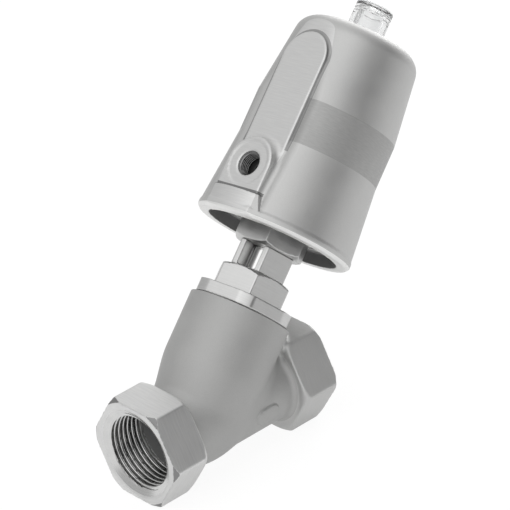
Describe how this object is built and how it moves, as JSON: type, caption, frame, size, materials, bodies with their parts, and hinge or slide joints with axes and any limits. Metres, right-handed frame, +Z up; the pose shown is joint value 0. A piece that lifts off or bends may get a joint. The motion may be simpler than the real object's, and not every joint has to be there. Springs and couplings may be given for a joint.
{
  "type": "pneumatic angle seat valve",
  "caption": "Stainless Y-pattern angle seat valve with threaded hexagon ports and a spring-closed pneumatic piston actuator on an inclined stem.",
  "frame": {"origin": "centre of the inlet port's thread mouth plane at the inlet end face", "axes": "+X along the pipe axis from inlet to outlet, +Z up, the stem leans 45 degrees from +Z towards +X"},
  "size_m": [0.1644, 0.0652, 0.1562],
  "materials": {
    "cast_steel": "bead blasted stainless casting, brushed on the waist and strip",
    "machined_steel": "turned and milled stainless bar",
    "spring_steel": "drawn spring wire",
    "ptfe": "plain PTFE",
    "seal_rubber": "smooth moulded",
    "bronze": "turned",
    "piston_aluminium": "turned",
    "clear_plastic": "clear moulded",
    "indicator_red": "coloured rod"
  },
  "bodies": {
    "valve": {"valve_body": "cast_steel", "bonnet": "machined_steel", "bonnet_gasket": "ptfe", "packing_spring": "spring_steel", "packing_pressure_ring": "machined_steel", "packing_v_ring_1": "ptfe", "packing_v_ring_2": "ptfe", "packing_v_ring_3": "ptfe", "packing_v_ring_4": "ptfe", "gland_bush": "machined_steel", "spindle_wiper": "seal_rubber", "union_nut": "machined_steel"},
    "actuator": {"lantern": "machined_steel", "actuator_base": "machined_steel", "base_o_ring": "seal_rubber", "rod_bush": "bronze", "rod_seal": "seal_rubber", "retaining_ring": "spring_steel", "actuator_housing": "cast_steel", "indicator_cap": "clear_plastic", "cap_o_ring": "seal_rubber", "spring_seat": "machined_steel", "main_spring": "spring_steel"},
    "stem": {"spindle": "machined_steel", "valve_plug": "machined_steel", "plug_pin": "machined_steel", "seat_seal": "ptfe", "seal_retainer": "machined_steel", "seal_nut": "machined_steel", "piston": "piston_aluminium", "piston_seal": "seal_rubber", "piston_guide_ring": "ptfe", "piston_washer": "machined_steel", "piston_nut": "machined_steel", "indicator_pin": "indicator_red"}
  },
  "joints": [
    {"name": "stem_slide", "type": "slide", "parent": "valve", "child": "stem", "axis": [0.7071, 0, 0.7071], "range_m": [0, 0.01], "stiffness_N_per_m": 5700, "springref_m": -0.02, "deforming": ["main_spring"]},
    {"name": "actuator_swivel", "type": "hinge", "parent": "valve", "child": "actuator", "pos_m": [0.0301, 0, 0], "axis": [0.7071, 0, 0.7071], "continuous": true}
  ]
}
